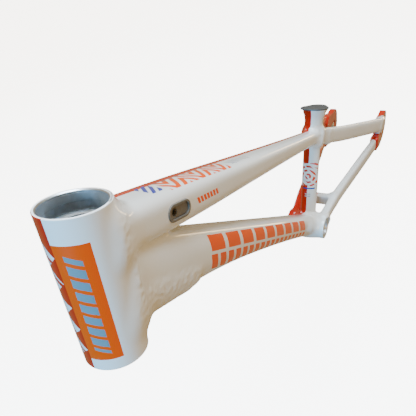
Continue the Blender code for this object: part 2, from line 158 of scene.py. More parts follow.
def colour(code):
    """An sRGB hex code as the linear red, green, blue and alpha that Blender computes with."""
    parts = [int(code[i:i + 2], 16) / 255 for i in (0, 2, 4)]
    return (*(p / 12.92 if p <= 0.04045 else ((p + 0.055) / 1.055) ** 2.4 for p in parts), 1)


# %% [markdown]
# ## Masks: where a colour goes
# The paint scheme is masked by hand on the real frame: tape marks straight edges along and across
# each tube. The same idea works in a shader. The distance of a point along some direction is one
# number, and a mask is 1 where that number is between two values. Products of masks make panels.

# %% Masks
def reach_along(tree, direction, origin=Vector()):
    """How far each point of the surface lies along a direction from an origin, in metres."""
    place = add(tree, "ShaderNodeTexCoord").outputs["Object"]
    moved = add(tree, "ShaderNodeVectorMath", {0: place, 1: origin}, operation="SUBTRACT")
    dotted = add(tree, "ShaderNodeVectorMath", {0: moved.outputs[0], 1: direction}, operation="DOT_PRODUCT")
    return dotted.outputs["Value"]


def maths(tree, operation, first, second=0.0, third=0.0):
    """The output of one step of arithmetic."""
    return add(tree, "ShaderNodeMath", {0: first, 1: second, 2: third}, operation=operation).outputs[0]


def between(tree, value, low, high):
    """1 where value is between low and high."""
    return maths(tree, "COMPARE", value, (low + high) / 2, (high - low) / 2)


def past(tree, direction, limit, origin=Vector()):
    """1 for the points that lie further along a direction than limit."""
    return maths(tree, "GREATER_THAN", reach_along(tree, direction, origin), limit)


def all_of(tree, *masks):
    """1 where every mask is 1."""
    result = masks[0]
    for mask in masks[1:]:
        result = maths(tree, "MULTIPLY", result, mask)
    return result


def stripes(tree, value, pitch, share, start=0.0):
    """Bars across value: one in each pitch, covering this share of it."""
    moved = maths(tree, "SUBTRACT", value, start)
    return maths(tree, "LESS_THAN", maths(tree, "FRACT", maths(tree, "DIVIDE", moved, pitch)), share)


def zigzag(tree, value, pitch):
    """A wave of straight slopes from 0 to 1 and back, once in each pitch."""
    return maths(tree, "PINGPONG", maths(tree, "DIVIDE", value, pitch / 2), 1.0)


# %% [markdown]
# ## Enamel
# The frame is powder-coated aluminium under clear lacquer. Powder coat is a smooth dielectric with
# an index of about 1.5. It has a very fine orange-peel texture, a ripple a millimetre or two long
# and a few microns high, which breaks up reflections a little. The lacquer over it is smoother and
# is what reflects, so it is the shader's coat, and the paint under it keeps almost no gloss.

# %% Enamel
WHITE, RED, ORANGE = "DEDFDA", "B51003", "E24A00"
BLUE, SLATE, PALE_GREY = "16338F", "5F828E", "A9B0AE"
MAROON, BRICK = "8E5A56", "CE4A33"


def surface(name, metallic=0.0, roughness=0.3, coat=0.0):
    """A material with its constants set on the shader itself; returns it, its tree and the shader."""
    made = bpy.data.materials.new(name)
    made.use_nodes = True
    shader = made.node_tree.nodes["Principled BSDF"]
    for socket, value in (("Metallic", metallic), ("Roughness", roughness), ("Coat Weight", coat),
                          ("IOR", 1.5), ("Coat Roughness", 0.04)):
        shader.inputs[socket].default_value = value
    return made, made.node_tree, shader


def ripple(tree, shader, size, height, detail=2.0):
    """Fine bumps about `size` long and `height` deep, read from the object's own coordinates."""
    place = add(tree, "ShaderNodeTexCoord").outputs["Object"]
    grain = add(tree, "ShaderNodeTexNoise", {"Vector": place, "Scale": 1 / size, "Detail": detail}).outputs[0]
    bump = add(tree, "ShaderNodeBump", {"Height": grain, "Distance": height})
    tree.links.new(bump.outputs[0], shader.inputs["Normal"])
    return grain


def enamel(name, *layers):
    """White powder coat with masked layers over it, each a (mask function, hex colour)."""
    made, tree, shader = surface(name, roughness=0.30, coat=1.0)
    shader.inputs["Specular IOR Level"].default_value = 0.12
    place = add(tree, "ShaderNodeTexCoord").outputs["Object"]
    cloud = add(tree, "ShaderNodeTexNoise", {"Vector": place, "Scale": 18.0, "Detail": 3.0}).outputs[0]
    shade = maths(tree, "MULTIPLY_ADD", cloud, 0.10, 0.95)
    paint = add(tree, "ShaderNodeRGB").outputs[0]
    paint.default_value = colour(WHITE)
    for mask, code in layers:
        paint = add(tree, "ShaderNodeMix", {0: mask(tree), 6: paint, 7: colour(code)},
                    data_type="RGBA").outputs[2]
    toned = add(tree, "ShaderNodeMix", {0: 1.0, 6: paint, 7: shade}, data_type="RGBA", blend_type="MULTIPLY")
    tree.links.new(toned.outputs[2], shader.inputs["Base Color"])
    ripple(tree, shader, 1.6 * MM, 0.012 * MM)
    return made


def right_of(edge, slope=0.0):
    """Mask: the drive side, past a line that drifts out along a tube and turns in at the seat tube."""
    def mask(tree):
        side = reach_along(tree, -LEFTWARDS)
        line = maths(tree, "MULTIPLY_ADD", reach_along(tree, TOP_AXIS, TOP_REAR), slope, edge)
        ahead = maths(tree, "SUBTRACT", reach_along(tree, ahead_of(SEAT_AXIS)), SEAT_RADIUS)
        turned_in = maths(tree, "MAXIMUM", maths(tree, "MULTIPLY", ahead, 0.8), 0.0)
        return maths(tree, "GREATER_THAN", side, maths(tree, "MINIMUM", line, turned_in))
    return mask


def right_half(tree):
    """Mask: the drive side of the middle plane."""
    return past(tree, -LEFTWARDS, 0.0)


RIGHT_HALF = (right_half, RED)
print("white as light:", tuple(round(value, 3) for value in colour(WHITE)[:3]))

# %% [markdown]
# ## Tubes with a fine skin
# A hydroformed tube has no single section: it starts as one shape and is pressed into another. So
# each tube is a loft, given by a few stations: a centre, a width, a height and a squareness. The
# outline at each station is a superellipse, whose power sets how square it is. Between stations
# everything follows a smooth curve. Rings are spaced so closely that no facet shows.

# %% Lofting
def squircle(width, height, power, count):
    """Points evenly spaced round a superellipse."""
    turn = np.linspace(0, 2 * math.pi, 12 * count + 1)
    c, s = np.cos(turn), np.sin(turn)
    x = width / 2 * np.sign(c) * np.abs(c) ** (2 / power)
    y = height / 2 * np.sign(s) * np.abs(s) ** (2 / power)
    length = np.concatenate([[0], np.cumsum(np.hypot(np.diff(x), np.diff(y)))])
    at = np.linspace(0, length[-1], count, endpoint=False)
    return np.column_stack([np.interp(at, length, x), np.interp(at, length, y)])


def smoothed(stations, spacing):
    """Rows every `spacing` along a smooth curve through the stations' rows."""
    rows = np.array([[*centre, *rest] for centre, *rest in stations], float)
    steps = np.linalg.norm(np.diff(rows[:, :3], axis=0), axis=1)
    knots = np.concatenate([[0], np.cumsum(steps)])
    slopes = np.gradient(rows, knots, axis=0)
    made = []
    for at in np.linspace(0, knots[-1], round(knots[-1] / spacing) + 1):
        i = min(max(np.searchsorted(knots, at) - 1, 0), len(knots) - 2)
        gap = knots[i + 1] - knots[i]
        t = (at - knots[i]) / gap
        made.append((2 * t**3 - 3 * t**2 + 1) * rows[i] + (t**3 - 2 * t**2 + t) * gap * slopes[i]
                    + (3 * t**2 - 2 * t**3) * rows[i + 1] + (t**3 - t**2) * gap * slopes[i + 1])
    return made


def loft_rings(stations, count=96, spacing=2 * MM, facing=None):
    """The rings of points of a loft, with its ends closed by rings that shrink to a point."""
    rows = smoothed(stations, spacing)
    rings = []
    for i, row in enumerate(rows):
        centre = Vector(row[:3])
        ahead, behind = rows[min(i + 1, len(rows) - 1)], rows[max(i - 1, 0)]
        along = facing or Vector(ahead[:3] - behind[:3]).normalized()
        side = Vector((0, 0, 1)).cross(along).normalized()
        up = along.cross(side)
        rings.append([centre + side * a + up * b for a, b in squircle(*row[3:6], count)])
    shrinks = [k / 8 for k in range(8)]
    first, last = Vector(rows[0][:3]), Vector(rows[-1][:3])
    start = [[first.lerp(point, k) for point in rings[0]] for k in shrinks]
    end = [[last.lerp(point, k) for point in rings[-1]] for k in reversed(shrinks)]
    return start + rings + end


def turned_rings(profile, origin, axis, count=96):
    """Rings of a turned shape from (radius, height) points; a third number, 6, makes a hexagon."""
    side = LEFTWARDS if abs(axis.y) < 0.9 else Vector((0, 0, 1))
    x = side.cross(axis).normalized()
    y = axis.cross(x)
    rings = []
    for radius, height, *sides in profile:
        ring = []
        for k in range(count):
            angle = 2 * math.pi * k / count
            flat = math.pi / sides[0] if sides else 0
            reach = radius / math.cos((angle + flat) % (2 * flat) - flat) if sides else radius
            ring.append(origin + axis * height + (x * math.cos(angle) + y * math.sin(angle)) * reach)
        rings.append(ring)
    return rings


def mesh_from(shape, name):
    """The plain mesh of a finished bmesh."""
    mesh = bpy.data.meshes.new(name)
    shape.to_mesh(mesh)
    shape.free()
    return mesh


def mesh_of(name, rings, ring_shaped=False):
    """A closed mesh through rings: capped by its own end points, or joined end to end."""
    shape = bmesh.new()
    rows = [[shape.verts.new(point) for point in ring] for ring in rings]
    pairs = list(zip(rows, rows[1:])) + ([(rows[-1], rows[0])] if ring_shaped else [])
    for low, high in pairs:
        for i in range(len(low)):
            j = (i + 1) % len(low)
            shape.faces.new((low[i], low[j], high[j], high[i]))
    bmesh.ops.remove_doubles(shape, verts=shape.verts, dist=0.01 * MM)
    bmesh.ops.recalc_face_normals(shape, faces=shape.faces)
    if shape.calc_volume(signed=True) < 0:
        bmesh.ops.reverse_faces(shape, faces=shape.faces)
    return mesh_from(shape, name)


# %% [markdown]
# ## How a welded joint looks once it is sanded
# A weld bead is laid in the corner between two tubes, then filed and filled until one tube flows
# into the other. A modeller could cut and bridge every corner by hand. It is easier to say what the
# result is: the *smooth union* of the two shapes. At any point, take the distance to each tube. Where
# both are small, the smooth minimum of the two is smaller than either, so the surface where it is
# zero bulges out into the corner. Each point of a tube's skin moves out along its normal until it
# reaches that surface. Both tubes do the same, so they meet in one line with the same slope.
#
# A filed weld isn't quite a round hollow, though. The file leaves a nearly flat band across the
# corner, with soft edges. So a third surface joins the two: the plane that cuts the corner off.

# %% Smooth joints
fields = {}
# each point moves this many times, taking up this share of its error, and no higher than so many legs
MOVES, STRIDE, HIGHEST = 7, 0.8, 1.3
# skin that has met the other tube's skin sinks under it a little, as the two would flicker
SINK, SOFT_BAND = 0.12, 0.45
LUMP_SIZE = 3.5 * MM


def smooth_minimum(a, b, reach):
    """The lower of two distances, rounded off where they are within reach of each other."""
    near = max(reach - abs(a - b), 0)
    return min(a, b) - near * near / (4 * reach)


def distance_to(names, point, limit):
    """The distance to a group of solids, negative inside one, or limit where all are further off."""
    nearest, softness = limit, 6 * MM
    for name in names.split("+"):
        hit, normal, _, distance = fields[name].find_nearest(point, limit)
        if hit is not None:
            # beside a sharp edge the nearest face may slant away: inside is straight behind it
            inside = (point - hit).dot(normal) < -0.7 * distance
            distance = -distance if inside else distance
            nearest = distance if nearest == limit else smooth_minimum(nearest, distance, softness)
    return nearest


def welded(a, b, leg):
    """The joint of two shapes, whose corner is cut off by a band that reaches `leg` up each side."""
    band = (a + b - leg) * math.sqrt(0.5)
    return smooth_minimum(smooth_minimum(a, b, SOFT_BAND * leg), band, SOFT_BAND * leg)


def flow_into(mesh, neighbours, lumps, only):
    """Move the skin out to the weld with each neighbour; lumps roughens the weld a little."""
    widest = max(neighbours.values())
    limit = 3 * widest
    normals = [v.vector.copy() for v in mesh.vertex_normals]
    for vert, normal in zip(mesh.vertices, normals):
        start = vert.co.copy()
        if only and not only(start):
            continue
        gaps = {n: distance_to(n, start, limit) for n in neighbours}
        near = [n for n, gap in gaps.items() if gap < limit]
        if not near or min(gaps.values()) < -widest / 2:
            continue
        lift = 0.0
        for _ in range(MOVES):
            here = start + normal * lift
            others = [distance_to(n, here, limit) for n in near]
            level = lift
            for name, other in zip(near, others):
                level = welded(level, other, neighbours[name])
            lift = min(max(lift - STRIDE * level, 0), HIGHEST * widest)
        nearest = min(others)
        over = max(lift - nearest, 0)
        weld = max(1 - abs(lift - nearest) / widest, 0)
        bumps = lumps * weld * weld * noise.noise((start + normal * lift) / LUMP_SIZE)
        vert.co = start + normal * (lift + bumps - SINK * over * over / widest)


def stay_in_wall(mesh, origin, axis, radius, towards):
    """Keep a tube's hidden end inside the wall of the tube it is welded to, out of the bore."""
    shallow = 6 * MM
    for vert in mesh.vertices:
        offset = vert.co - origin
        along = axis * offset.dot(axis)
        across = offset - along
        if across.length < radius:
            across += towards * max(shallow - across.dot(towards), 0)
            if across.length < radius:
                across = across.normalized() * radius
            vert.co = origin + along + across


# %% [markdown]
# ## The stations of each tube
# These are the measured model's own sections. The top tube is slim and nearly square and widens
# towards the head. The down tube keeps a level top, while its underside drops into a deep throat.

# %% Stations
def top_stations():
    sizes = [(0.003, 26.5, 23.5, 2.8), (0.10, 28.0, 23.5, 3.0), (0.30, 32.5, 25.0, 3.4),
             (0.55, 38.5, 29.0, 3.6), (0.80, 43.5, 34.0, 3.6), (0.985, 45.0, 35.0, 3.4)]
    return [(TOP_REAR.lerp(TOP_FRONT, t), w * MM, h * MM, p) for t, w, h, p in sizes]


def down_point(along, across):
    return DOWN_AXIS * along + Vector((-DOWN_AXIS.z, 0, DOWN_AXIS.x)) * across


def down_stations():
    sizes = [(6, 44.0, 20.5, -18.5), (110, 42.0, 21.0, -18.0), (210, 40.5, 21.2, -19.0),
             (280, 40.0, 21.4, -21.0), (360, 40.0, 21.6, -25.0), (430, 41.0, 21.8, -32.0),
             (475, 42.0, 21.8, -39.0), (538, 42.0, 21.8, -49.3)]
    return [(down_point(s * MM, (top + low) / 2 * MM), w * MM, (top - low) * MM, 2.6)
            for s, w, top, low in sizes]


def gusset_stations():
    crown, proud = -6.0, 3.4
    sizes = [(443, 37.0, -31.0), (452, 38.6, -34.9), (475, 39.2, -39.0), (500, 39.6, -43.1),
             (534, 40.0, -48.7)]
    return [(down_point(s * MM, (crown + low - proud) / 2 * MM), w * MM, (crown - low + proud) * MM, 2.6)
            for s, w, low in sizes]


def seat_point(along, back=0.0, left=0.0):
    return SEAT_AXIS * along - ahead_of(SEAT_AXIS) * back + Vector((0, left, 0))


def housing_stations():
    sizes = [(210.7, 11.0, 42.0, 42.0), (205.5, 11.2, 35.0, 38.5), (198.5, 11.2, 25.5, 35.5),
             (190.0, 10.5, 20.5, 34.5), (172.0, 10.0, 19.0, 33.5), (158.0, 7.0, 18.0, 29.0)]
    return [(seat_point(a * MM, b * MM), w * MM, h * MM, 2.4) for a, b, w, h in sizes]


# the centre of each station of a left stay, then its width and height, all in millimetres
CHAINSTAY = [(-8, 26.5, 8.0, 16.5, 25.0), (-75, 33.5, 8.5, 16.0, 26.0), (-160, 42.5, -2.0, 15.5, 27.5),
             (-260, 53.5, -14.5, 15.0, 29.0), (-326, 60.5, -22.8, 13.0, 30.0),
             (-352, 61.5, -26.2, 12.5, 30.0)]
SEATSTAY = [(-54, 12.5, 158.5, 12.0, 26.0), (-140, 27.5, 114.0, 12.0, 28.0), (-240, 45.0, 66.0, 12.5, 29.5),
            (-320, 60.0, 28.5, 13.5, 30.0), (-362, 66.5, 9.5, 14.0, 29.0), (-384, 67.0, 0.0, 13.0, 26.0)]


def stay_stations(rows, sign):
    return [(Vector((x, y * sign, z)) * MM, w * MM, h * MM, 3.2) for x, y, z, w, h in rows]


def bridge_stations(x, z, length, height, half_width):
    """A short, straight loft from side to side."""
    return [(Vector((x, share * half_width, z)) * MM, length * MM, height * MM, 4.0)
            for share in (-1, -0.5, 0, 0.5, 1)]


# %% Every solid of the frame, before the joints flow together
def plain_cylinder(origin, axis, radius, low, high):
    steps = max(round((high - low) / (1.5 * MM)), 2)
    skin = [(radius, low + (high - low) * k / steps) for k in range(steps + 1)]
    return turned_rings([(0, low), *skin, (0, high)], origin, axis)


solids = {
    "head_tube": plain_cylinder(HEAD_BOTTOM, HEAD_AXIS, HEAD_RADIUS, 0, HEAD_LENGTH),
    "seat_tube": plain_cylinder(Vector(), SEAT_AXIS, SEAT_RADIUS, 4 * MM, SEAT_LENGTH),
    "bottom_bracket_shell": plain_cylinder(Vector(), BB_AXIS, BB_RADIUS, -BB_WIDTH / 2, BB_WIDTH / 2),
    "top_tube": loft_rings(top_stations()),
    "down_tube": loft_rings(down_stations()),
    "down_tube_gusset": loft_rings(gusset_stations(), spacing=1.5 * MM),
    "seat_clamp_housing": loft_rings(housing_stations(), facing=-SEAT_AXIS, spacing=1 * MM),
    "chainstay_bridge": loft_rings(bridge_stations(-73, 7.5, 14, 23, 33), 64, 1 * MM),
    "seatstay_bridge": loft_rings(bridge_stations(-85.5, 139.5, 11, 21, 18), 64, 1 * MM),
}
for side, sign in SIDES.items():
    solids["chainstay_" + side] = loft_rings(stay_stations(CHAINSTAY, sign), 72)
    solids["seatstay_" + side] = loft_rings(stay_stations(SEATSTAY, sign), 72)
meshes = {name: mesh_of(name, rings) for name, rings in solids.items()}


def field_of(mesh):
    """A search tree over a mesh, which answers how far any point is from its skin."""
    return BVHTree.FromPolygons([v.co for v in mesh.vertices], [p.vertices for p in mesh.polygons])


fields.update({name: field_of(mesh) for name, mesh in meshes.items()})
for side in SIDES:
    fields["dropout_" + side] = field_of(frame["nodes"]["dropout_" + side].data)
print("faces:", {name: len(mesh.polygons) for name, mesh in meshes.items()})

# %% [markdown]
# ## The three bored tubes
# The head tube, the seat tube and the bottom bracket shell are turned and bored, so they are drawn as
# a profile spun round an axis. Their ends are faced after painting and their bores are reamed, which
# leaves bare, bright aluminium with fine rings round it. The outer skin takes paint.

# %% Bored tubes
def bored(name, outer, inner, origin, axis, low, high, count=96):
    """A tube with eased rims: outer radius, then the (radius, height) points of its bore, low to high."""
    spacing, edge = 1.5 * MM, 0.4 * MM
    steps = round((high - low) / spacing)
    skin = [(outer, low + edge + (high - low - 2 * edge) * k / steps) for k in range(steps + 1)]
    profile = [*inner, (outer - edge, high), *reversed(skin), (outer - edge, low)]
    return mesh_of(name, turned_rings(profile, origin, axis, count), ring_shaped=True)


def mark_bare(mesh, origin, axis, radius, low, high, raw_and_shaded_within=0.0):
    """Give the second material to the bore and the faced ends, and the third, unreamed metal darkened as
    painted shade, to the narrow bore deep past the ledges.
    """
    for face in mesh.polygons:
        offset = face.center - origin
        along = offset.dot(axis)
        across = (offset - axis * along).length
        bare = across < radius or along < low or along > high
        face.material_index = 2 if across < raw_and_shaded_within else int(bare)


# a headset cup is pressed into each end, against a ledge
cup_depth, ledge, lead_in = 16 * MM, 0.4 * MM, 0.8 * MM
cup, bore = 22.0 * MM, 19.5 * MM
head_inner = [(cup + lead_in, 0), (cup, lead_in), (cup, cup_depth), (bore, cup_depth + ledge)]
head_inner += [(radius, HEAD_LENGTH - height) for radius, height in reversed(head_inner)]
meshes["head_tube"] = bored("head_tube", HEAD_RADIUS, head_inner, HEAD_BOTTOM, HEAD_AXIS, 0, HEAD_LENGTH, 128)

# a real 24-turns-to-the-inch thread runs 26 mm in from each end of the shell
pitch, thread_depth, thread_length = 1.06 * MM, 0.55 * MM, 26 * MM
thread_root, bevel, half = 17.4 * MM, 1 * MM, BB_WIDTH / 2
crests = [(thread_root - (thread_depth if k % 2 else 0), half - bevel - k * pitch / 2)
          for k in range(round(2 * thread_length / pitch))]
thread = [(thread_root + bevel, half), *crests, (thread_root, half - bevel - thread_length)]
bb_inner = [(r, -h) for r, h in thread] + [(r, h) for r, h in reversed(thread)]
meshes["bottom_bracket_shell"] = bored("bottom_bracket_shell", BB_RADIUS, bb_inner, Vector(), BB_AXIS,
                                       -half, half)

seat_low = 18 * MM
seat_inner = [(SEAT_BORE, seat_low), (SEAT_BORE, SEAT_LENGTH)]
meshes["seat_tube"] = bored("seat_tube", SEAT_RADIUS, seat_inner, Vector(), SEAT_AXIS, seat_low, SEAT_LENGTH)
print("turns of thread in the shell:", 2 * round(thread_length / pitch))

# %% Let the joints flow together
# each wall: a point on the axis, the axis, the radius that hidden ends stay outside, and the tube's side
HEAD_WALL = (HEAD_BOTTOM, HEAD_AXIS, 23.3 * MM, -ahead_of(HEAD_AXIS))
SEAT_FRONT = (Vector(), SEAT_AXIS, 13.5 * MM, ahead_of(SEAT_AXIS))
SEAT_REAR = (Vector(), SEAT_AXIS, 13.5 * MM, -ahead_of(SEAT_AXIS))
SHELL_FRONT = (Vector(), BB_AXIS, 19.5 * MM, DOWN_AXIS)
SHELL_REAR = (Vector(), BB_AXIS, 19.5 * MM, -FORWARDS)
SHELL_TOP = (Vector(), BB_AXIS, 19.5 * MM, SEAT_AXIS)
MAIN, SLIM, SMALL = 9 * MM, 6 * MM, 3 * MM
LUMPS = 0.9 * MM
seatstays, chainstays = ["seatstay_" + side for side in SIDES], ["chainstay_" + side for side in SIDES]


def outside(origin, axis, radius):
    """True for points of a bored tube's outer skin only."""
    def test(point):
        offset = point - origin
        return (offset - axis * offset.dot(axis)).length > radius
    return test


def legs(leg, *names, **others):
    """The leg of the weld with each neighbour: one size for most, and others by name."""
    return {**dict.fromkeys(names, leg), **others}


# each piece: its welds, the walls that its hidden ends stay in, and which of its points may move
plan = {
    "head_tube": (
        legs(MAIN, "top_tube+down_tube+down_tube_gusset"), [], outside(HEAD_BOTTOM, HEAD_AXIS, 24.3 * MM)),
    "top_tube": (
        legs(SLIM, "seat_tube", "seat_clamp_housing", *seatstays, head_tube=MAIN, down_tube=SMALL),
        [HEAD_WALL, SEAT_FRONT], None),
    "down_tube": (
        legs(SLIM, "seat_tube", *chainstays, head_tube=MAIN, bottom_bracket_shell=MAIN, top_tube=SMALL,
             down_tube_gusset=SMALL),
        [HEAD_WALL, SHELL_FRONT], None),
    "down_tube_gusset": (legs(SMALL, "down_tube", head_tube=MAIN), [HEAD_WALL], None),
    "seat_tube": (
        legs(SLIM, "top_tube", "down_tube", "bottom_bracket_shell", "seat_clamp_housing", *seatstays),
        [SHELL_TOP], outside(Vector(), SEAT_AXIS, 14.1 * MM)),
    "bottom_bracket_shell": (
        legs(SLIM, "seat_tube", *chainstays, down_tube=MAIN), [], outside(Vector(), BB_AXIS, 21.3 * MM)),
    "seat_clamp_housing": (
        legs(SLIM, "seat_tube", "top_tube", *seatstays), [SEAT_REAR],
        lambda point: point.dot(SEAT_AXIS) < SEAT_LENGTH - 1.5 * MM),
    "chainstay_bridge": (legs(SLIM, *chainstays), [], None),
    "seatstay_bridge": (legs(SLIM, *seatstays), [], None),
}
for side in SIDES:
    plan["chainstay_" + side] = (
        legs(SLIM, "bottom_bracket_shell", "down_tube", "seat_tube", "chainstay_bridge", "dropout_" + side),
        [SHELL_REAR], None)
    plan["seatstay_" + side] = (
        legs(SLIM, "seat_tube", "top_tube", "seat_clamp_housing", "seatstay_bridge", "dropout_" + side),
        [SEAT_REAR], None)
for name, (neighbours, walls, only) in plan.items():
    flow_into(meshes[name], neighbours, LUMPS, only)
    for wall in walls:
        stay_in_wall(meshes[name], *wall)
    # filler never stands proud of the measured model's box
    for vert in meshes[name].vertices:
        vert.co = np.clip(vert.co, *cad_box)
print("joints blended on", len(plan), "pieces")

# %% [markdown]
# ## Painting
# Each tube gets its own masks. The left half of the frame is white and the right half is red. The
# split runs down the front of the head tube and the seat tube, and along the right shoulders of the
# two long tubes. The graphics are plain geometry: bars, blocks and zigzags.

# %% Paint for each tube
DOWN_UP = Vector((-DOWN_AXIS.z, 0, DOWN_AXIS.x))
TOP_UP = Vector((-TOP_AXIS.z, 0, TOP_AXIS.x))


def round_head(tree, side=LEFTWARDS):
    """The angle round the head tube from its front towards a side, and the height above its foot."""
    ahead = reach_along(tree, ahead_of(HEAD_AXIS), HEAD_BOTTOM)
    angle = maths(tree, "ARCTAN2", reach_along(tree, side), ahead)
    return angle, reach_along(tree, HEAD_AXIS, HEAD_BOTTOM)


def head_panel(tree):
    """Mask: a panel on the left front of the head tube."""
    angle, height = round_head(tree)
    return all_of(tree, between(tree, angle, math.radians(0), math.radians(58)),
                  between(tree, height, 11 * MM, 104.5 * MM))


def head_bars(tree):
    """Mask: a row of slanted bars down the middle of the panel."""
    angle, height = round_head(tree)
    slanted = maths(tree, "MULTIPLY_ADD", angle, 9 * MM, height)
    return all_of(tree, stripes(tree, slanted, 9.6 * MM, 0.70),
                  between(tree, angle, math.radians(15), math.radians(41)),
                  between(tree, slanted, 23 * MM, 100 * MM))


def head_shards(tree):
    """Mask: jagged shapes on the red side of the head tube."""
    angle, height = round_head(tree, -LEFTWARDS)
    wave = maths(tree, "MULTIPLY", zigzag(tree, height, 19 * MM), 0.45)
    edge = maths(tree, "ADD", wave, 0.02)
    fine = stripes(tree, maths(tree, "MULTIPLY_ADD", angle, -14 * MM, height), 15 * MM, 0.74)
    return all_of(tree, maths(tree, "GREATER_THAN", angle, edge), fine, between(tree, angle, 0.02, 1.35),
                  between(tree, height, 14 * MM, 103 * MM))


paints = {
    "head_tube": enamel("enamel on the head tube", RIGHT_HALF, (head_shards, WHITE),
                        (head_panel, ORANGE), (head_bars, SLATE)),
}


def on_top(tree, low, high):
    """Masks for the flat top of the top tube, between two places along it."""
    along = reach_along(tree, TOP_AXIS, TOP_REAR)
    return along, all_of(tree, between(tree, along, low * MM, high * MM),
                         past(tree, TOP_UP, 9 * MM, TOP_REAR))


def chevrons(first, last, left, right):
    """Mask: bold strokes folded into a zigzag, between two places along and across the top tube."""
    def mask(tree):
        along, zone = on_top(tree, first, last)
        across = reach_along(tree, LEFTWARDS)
        folded = maths(tree, "MULTIPLY_ADD", zigzag(tree, along, 40 * MM), 26 * MM, across)
        return all_of(tree, stripes(tree, folded, 13 * MM, 0.56), zone,
                      between(tree, across, right * MM, left * MM))
    return mask


def slanted_bars(low, high, pitch, share, left, right, slant):
    """Mask: bars across the top tube that lean forwards."""
    def mask(tree):
        along, zone = on_top(tree, low, high)
        across = reach_along(tree, LEFTWARDS)
        leaned = maths(tree, "MULTIPLY_ADD", across, slant, along)
        return all_of(tree, stripes(tree, leaned, pitch * MM, share, low * MM), zone,
                      between(tree, across, right * MM, left * MM))
    return mask


def side_dashes(tree):
    """Mask: a short row of dashes on the left face, behind the cable port."""
    along = reach_along(tree, TOP_AXIS, TOP_REAR)
    height = reach_along(tree, TOP_UP, TOP_REAR)
    leaned = maths(tree, "MULTIPLY_ADD", height, -0.5, along)
    return all_of(tree, stripes(tree, leaned, 5.5 * MM, 0.7), between(tree, leaned, 384 * MM, 423 * MM),
                  between(tree, height, -2.6 * MM, 3.0 * MM), past(tree, LEFTWARDS, 10 * MM))


paints["top_tube"] = enamel(
    "enamel on the top tube", (right_of(1.5 * MM, 0.006), RED),
    (chevrons(346, 450, 16, -2), ORANGE), (chevrons(346, 450, -2, -5), MAROON),
    (slanted_bars(454, 470, 8.0, 0.55, 12, -7, -0.9), BLUE),
    (slanted_bars(289, 336, 9.0, 0.45, 11, 1, 0.6), PALE_GREY),
    (slanted_bars(318, 336, 9.0, 0.22, 12, 4, 0.9), BLUE), (side_dashes, ORANGE))


def down_blocks(tree):
    """Mask: two rows of slanted blocks, wide above and split below, along the left side of the down tube."""
    along = reach_along(tree, DOWN_AXIS)
    height = reach_along(tree, DOWN_UP)
    leaned = maths(tree, "MULTIPLY_ADD", height, -0.45, along)
    upper = all_of(tree, between(tree, height, -1.2 * MM, 14.5 * MM),
                   stripes(tree, leaned, 38 * MM, 0.80, 16 * MM))
    lower = all_of(tree, between(tree, height, -20 * MM, -4.6 * MM),
                   stripes(tree, leaned, 19 * MM, 0.70, 16 * MM))
    return all_of(tree, maths(tree, "MAXIMUM", upper, lower), between(tree, leaned, 92 * MM, 434 * MM),
                  past(tree, LEFTWARDS, 4 * MM))


paints["down_tube"] = enamel("enamel on the down tube", (right_of(17.0 * MM), RED), (down_blocks, ORANGE))


def seat_rings(tree):
    """Mask: ripples of broken rings round a point on the front of the seat tube."""
    height = reach_along(tree, SEAT_AXIS, SEAT_AXIS * 0.100)
    across = reach_along(tree, LEFTWARDS)
    radius = maths(tree, "SQRT", maths(tree, "ADD", maths(tree, "MULTIPLY", height, height),
                                       maths(tree, "MULTIPLY", across, across)))
    broken = stripes(tree, maths(tree, "ADD", height, across), 13 * MM, 0.72)
    return all_of(tree, stripes(tree, radius, 7 * MM, 0.5, 2 * MM), broken,
                  between(tree, height, -18 * MM, 24 * MM), past(tree, ahead_of(SEAT_AXIS), 0.0),
                  past(tree, LEFTWARDS, -13 * MM))


def seat_band(low, high, left, right):
    """Mask: a band round the front of the seat tube."""
    def mask(tree):
        return all_of(tree, between(tree, reach_along(tree, SEAT_AXIS), low * MM, high * MM),
                      between(tree, reach_along(tree, LEFTWARDS), right * MM, left * MM),
                      past(tree, ahead_of(SEAT_AXIS), 0.0))
    return mask


paints["seat_tube"] = enamel(
    "enamel on the seat tube", (right_of(1.0), RED), (seat_band(82, 124, 13, -13), WHITE),
    (seat_rings, BRICK), (seat_band(76.5, 79, 12, -8), BLUE), (seat_band(62, 64, 6, -4), PALE_GREY),
    (seat_band(66, 68, 6, -4), PALE_GREY))


def behind(x):
    """Mask: everything behind a place on the stays."""
    def mask(tree):
        return maths(tree, "LESS_THAN", reach_along(tree, FORWARDS), x)
    return mask


halves = enamel("enamel in two halves", RIGHT_HALF)
plain_white = enamel("white enamel")
plain_red = enamel("red enamel", (behind(1.0), RED))
chain_white = enamel("enamel on the left chainstay", (behind(-0.322), RED))
for name in ("seat_clamp_housing", "bottom_bracket_shell", "chainstay_bridge", "seatstay_bridge"):
    paints[name] = halves
paints["down_tube_gusset"] = paints["down_tube"]
paints["chainstay_left"], paints["seatstay_left"] = chain_white, plain_white
paints["chainstay_right"] = paints["seatstay_right"] = plain_red
print("pieces with paint:", len(paints))

# %% [markdown]
# ## Bare metal and rubber
# Reamed aluminium keeps the tool's rings, so its ripple varies along the axis only. The rings are
# really about 0.1 mm apart; they are drawn coarser so that they show. Black screws are steel with a
# black oxide. The cover and the cable port are soft, matt rubber with a fine moulded grain.

# %% Bare metal and rubber
def machined(name, axis, code="E4EAEE"):
    """Turned aluminium: fine rings about an axis."""
    made, tree, shader = surface(name, metallic=1.0)
    shader.inputs["Base Color"].default_value = colour(code)
    height = reach_along(tree, axis)
    rings = add(tree, "ShaderNodeTexNoise", {"W": height, "Scale": 1 / (0.7 * MM), "Detail": 3.0},
                noise_dimensions="1D").outputs[0]
    bump = add(tree, "ShaderNodeBump", {"Height": rings, "Distance": 0.02 * MM})
    tree.links.new(bump.outputs[0], shader.inputs["Normal"])
    rough = maths(tree, "MULTIPLY_ADD", rings, 0.25, 0.20)
    tree.links.new(rough, shader.inputs["Roughness"])
    return made


